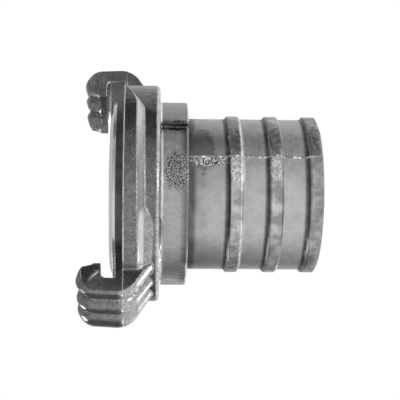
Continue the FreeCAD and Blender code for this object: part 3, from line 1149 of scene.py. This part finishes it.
        nose = points[on_hook, 2].max()
        inward = np.clip((self.nose_crown * MM - radius) / (self.nose_reach * MM), 0, self.steepest)
        ceiling = nose - self.nose_drop * MM * dome(inward)
        points[:, 2] = np.where(cast, np.minimum(points[:, 2], ceiling), points[:, 2])

        turn = np.abs(ahead) / self.finger
        across = np.clip(np.abs((turn + 0.5) % 1.0 - 0.5) * 2, 0, self.steepest)
        share = np.clip((points[:, 2] - nose) / (self.lobe_length * MM) + 1, 0, 1)
        share *= np.where(turn > 1.0, self.side_lobe_share, 1.0)
        points[:, 2] -= cast * self.lobe_drop * MM * dome(across) * share

        beside = np.clip((ahead / self.finger - 1.0) * 2, 0, 1) * (ahead < 2 * self.finger)
        outward = np.clip((radius / MM - self.draft_from) / self.draft_reach, 0, 1)
        lean = beside * outward * on_hook * np.radians(self.draft_degrees)
        x, y = points[:, 0].copy(), points[:, 1].copy()
        points[:, 0] = x * np.cos(lean) + y * np.sin(lean)
        points[:, 1] = y * np.cos(lean) - x * np.sin(lean)
        write_points(mesh, points)

    def wander(self, skin: Material) -> GeometryTree:
        """Tree that lets the cast skin wander, apart from the turned faces.

        Args:
            skin: Finish of the result.

        Returns:
            The tree, whose sizes are in metres.
        """
        tree = GeometryTree("cast_unevenness", {
            "Unevenness": self.unevenness * MM, "Lump size": self.lump_size * MM,
            "Fine unevenness": self.fine_unevenness * MM, "Fine scale": self.fine_scale,
            "Turned front": self.front * MM, "Turned bore": (self.recess + 0.4) * MM,
            "Hub top": (self.front - 18.0) * MM})
        nodes, given = tree.nodes, tree.given
        place = nodes.add("GeometryNodeInputPosition").outputs[0]
        normal = nodes.add("GeometryNodeInputNormal").outputs[0]
        _level, radius, height = nodes.from_axis(place)
        off_front = nodes.math("ABSOLUTE", nodes.math("SUBTRACT", height, given("Turned front")))
        off_bore = nodes.math("SUBTRACT", radius, given("Turned bore"))
        ring = nodes.math("MULTIPLY", nodes.step(off_front, 0.1 * MM, 1.2 * MM),
                          nodes.step(off_bore, 0.0, 1.0 * MM))
        hub = nodes.math("MULTIPLY", nodes.math("LESS_THAN", height, given("Hub top")),
                         nodes.step(radius, (self.hub_bore - 0.5) * MM, (self.hub_bore + 0.8) * MM))
        lumps = nodes.noise(place, nodes.math("DIVIDE", 1.0, given("Lump size")), 3.0)
        lumps = nodes.math("MULTIPLY", nodes.math("SUBTRACT", lumps, 0.5), given("Unevenness"))
        fine = nodes.noise(place, given("Fine scale"))
        fine = nodes.math("MULTIPLY", nodes.math("SUBTRACT", fine, 0.5), given("Fine unevenness"))
        lift = nodes.math("MULTIPLY", nodes.math("ADD", lumps, fine), nodes.math("MAXIMUM", ring, hub))
        tree.close(tree.moved(given("Geometry"), nodes.vector("SCALE", normal, lift)), skin)
        return tree

    def on_hub(self, centres: np.ndarray) -> np.ndarray:
        """Which of these places, in metres, are on the outside of the hub."""
        radius, _angle, height = polar(centres)
        return (radius > (self.hub_bore + 0.6) * MM) & (height < (self.rear + self.hub_depth) * MM)

    def build(self) -> None:
        """Make the collar, the flash round its front edge and the grains on its hub."""
        skin = self.finish()
        casting = self.casting(skin)
        shade_smooth(casting, 55)
        seat(casting, Body.SWIVEL, Slot.COLLAR, "collar")
        places = [(k * 0.4, self.front - 0.35) for k in range(900)]
        path = surface_path(casting, places, self.reach + 20, closed=True)
        # the flash is lighter than the collar: a painted highlight along the parting line
        bright = CastFinish("bright_parting_flash", 0.86, 0.60, 0.16, 0.004, 0.2)
        seat(SeamFlash(bright, height=0.30, width=0.3, seed=11).build(path, "collar_flash"),
             Body.SWIVEL, Slot.COLLAR)
        grains = CastGrains(30000, 0.10, 0.24, 0.6, 5).build(casting, skin, "hub_grains", self.on_hub)
        seat(grains, Body.SWIVEL, Slot.COLLAR)


@dataclass(frozen=True)
class Lamp:
    """A soft square lamp; its place is in metres along the picture's sight line, height and axis."""

    name: str
    side: float
    up: float
    along: float
    size: float
    watts: float


@dataclass
class Studio:
    """Camera, lamps, surround and white floor. Lengths here are in metres."""

    image_up_degrees: float = -37.85
    elevation_degrees: float = 2.75
    roll_degrees: float = 0.5
    distance: float = 0.5625
    width_seen: float = 0.2
    aim_height: float = 0.05675
    aim_drop: float = 0.003
    sensor_mm: float = 36.0
    floor_radius: float = 0.055
    floor_sides: int = 96
    floor_shade: float = 0.8
    floor_glow: float = 0.8
    floor_in_metal: float = 0.6
    above: float = 0.42
    above_from: Point = (0.35, 0.9)
    below: float = 1.3
    below_from: Point = (0.10, 0.34)
    surround_stops: tuple[Point, ...] = (
        (-90, 0.7), (-52, 0.62), (-34, 0.46), (-16, 0.36), (-8, 0.07), (24, 0.06), (36, 0.28),
        (60, 0.42), (100, 0.63), (150, 0.70), (176, 0.45), (200, 0.20), (218, 0.14), (234, 0.34),
        (252, 0.60),
    )
    lamps: tuple[Lamp, ...] = (
        Lamp("key", 0.42, 0.12, -0.30, 0.18, 0.3),
        Lamp("card", -0.20, -0.40, 0.47, 0.20, 0.50),
        Lamp("rim", -0.36, -0.20, -0.44, 0.19, 0.80),
        Lamp("fill", 0.35, 0.75, 0.30, 0.16, 0.2),
    )

    def level(self, degrees: float) -> Vector:
        """Level direction at that angle."""
        return Vector((math.cos(math.radians(degrees)), math.sin(math.radians(degrees)), 0))

    @property
    def image_up(self) -> Vector:
        """Direction that points up in the picture."""
        return self.level(self.image_up_degrees)

    @property
    def to_camera(self) -> Vector:
        """Level direction from the head towards the camera."""
        return self.level(self.image_up_degrees - 90)

    def add_camera(self) -> None:
        """Camera on its side, so that the standing head lies across the picture."""
        tilt = math.radians(self.elevation_degrees)
        up = Vector((0, 0, 1))
        back = self.to_camera * math.cos(tilt) + up * math.sin(tilt)
        top = Matrix.Rotation(math.radians(self.roll_degrees), 3, back) @ self.image_up
        right = top.cross(back)
        lens = bpy.data.cameras.new("view")
        lens.sensor_width = self.sensor_mm
        lens.lens = self.sensor_mm * self.distance / self.width_seen
        lens.clip_start, lens.clip_end = 0.02, 20
        camera = link("view", lens)
        target = up * self.aim_height - self.image_up * self.aim_drop
        turn = Matrix((right, top, back)).transposed().to_quaternion()
        camera.matrix_world = Matrix.LocRotScale(target + back * self.distance, turn, None)
        bpy.context.scene.camera = camera

    def add_surround(self) -> None:
        """World that is white to the camera and through openings, and a studio's greys in the metal.

        The stops give the level seen in each level direction, by its angle from the picture's up.
        """
        world = bpy.data.worlds.new("studio")
        world.use_nodes = True
        bpy.context.scene.world = world
        nodes = Nodes(world.node_tree)
        toward = nodes.add("ShaderNodeTexCoord").outputs["Generated"]
        turned = nodes.add("ShaderNodeMapping", {
            "Vector": toward, "Rotation": (0, 0, -math.radians(self.image_up_degrees))}).outputs[0]
        around = nodes.add("ShaderNodeTexGradient", {0: turned}, gradient_type="RADIAL").outputs["Fac"]
        ramp = nodes.add("ShaderNodeValToRGB", {0: around})
        ramp.color_ramp.interpolation = "EASE"
        marks = ramp.color_ramp.elements
        while len(marks) < len(self.surround_stops):
            marks.new(0.5)
        stops = sorted(((0.5 - angle / 360) % 1.0, level) for angle, level in self.surround_stops)
        for mark, (place, level) in zip(marks, stops):
            mark.position, mark.color = place, level_colour(level)
        height = nodes.add("ShaderNodeSeparateXYZ", {0: toward}).outputs[2]
        light = nodes.blend(Blend.COLOUR, nodes.step(height, *self.above_from), ramp.outputs[0],
                            level_colour(self.above))
        depth = nodes.math("MULTIPLY", height, -1.0)
        light = nodes.blend(Blend.COLOUR, nodes.step(depth, *self.below_from), light,
                            level_colour(self.below))
        ray = nodes.add("ShaderNodeLightPath").outputs
        seen = nodes.math("MAXIMUM", ray["Is Camera Ray"], ray["Is Transmission Ray"])
        colour = nodes.blend(Blend.COLOUR, seen, light, level_colour(1.0))
        background = nodes.add("ShaderNodeBackground", {"Color": colour, "Strength": 1.0})
        nodes.add("ShaderNodeOutputWorld", {0: background.outputs[0]})

    def add_floor(self) -> None:
        """White floor that keeps a light shadow."""
        mesh = bpy.data.meshes.new("floor")
        rim = [self.level(360 * k / self.floor_sides) * self.floor_radius
               for k in range(self.floor_sides)]
        mesh.from_pydata(rim, [], [list(range(self.floor_sides))])
        made, nodes = new_material("white_floor")
        ray = nodes.add("ShaderNodeLightPath").outputs
        mirrored = nodes.math("MAXIMUM", ray["Is Glossy Ray"], ray["Is Transmission Ray"])
        matt = nodes.add("ShaderNodeBsdfDiffuse", {"Color": level_colour(self.floor_shade)}).outputs[0]
        glow = nodes.add("ShaderNodeEmission", {
            "Strength": nodes.math("MULTIPLY", ray["Is Camera Ray"], self.floor_glow)}).outputs[0]
        lit = nodes.add("ShaderNodeAddShader", {0: matt, 1: glow}).outputs[0]
        pale = nodes.add("ShaderNodeEmission", {"Strength": self.floor_in_metal}).outputs[0]
        both = nodes.add("ShaderNodeMixShader", {0: mirrored, 1: lit, 2: pale}).outputs[0]
        nodes.add("ShaderNodeOutputMaterial", {0: both})
        mesh.materials.append(made)
        link("floor", mesh)

    def add_lamp(self, lamp: Lamp) -> None:
        """Put up a lamp that faces the middle of the head.

        Args:
            lamp: Its place, size and power.
        """
        light = bpy.data.lights.new(lamp.name, "AREA")
        light.size, light.energy = lamp.size, lamp.watts
        place = self.to_camera * lamp.side + self.image_up * lamp.up + Vector((0, 0, lamp.along))
        made = link(lamp.name, light)
        made.location = place
        made.rotation_mode = "QUATERNION"
        made.rotation_quaternion = (place - Vector((0, 0, self.aim_height))).to_track_quat("Z", "Y")

    def build(self) -> None:
        """Set up everything round the head."""
        bpy.context.scene.view_settings.view_transform = "Standard"
        self.add_camera()
        self.add_surround()
        self.add_floor()
        for lamp in self.lamps:
            self.add_lamp(lamp)


def main() -> None:
    """Dress the head and set up the studio."""
    logging.basicConfig(level=logging.INFO, format="%(name)s: %(message)s")
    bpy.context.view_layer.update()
    for part in (Sleeve(), SealingRing(), Collar(), Studio()):
        part.build()


if __name__ == "__main__":
    main()
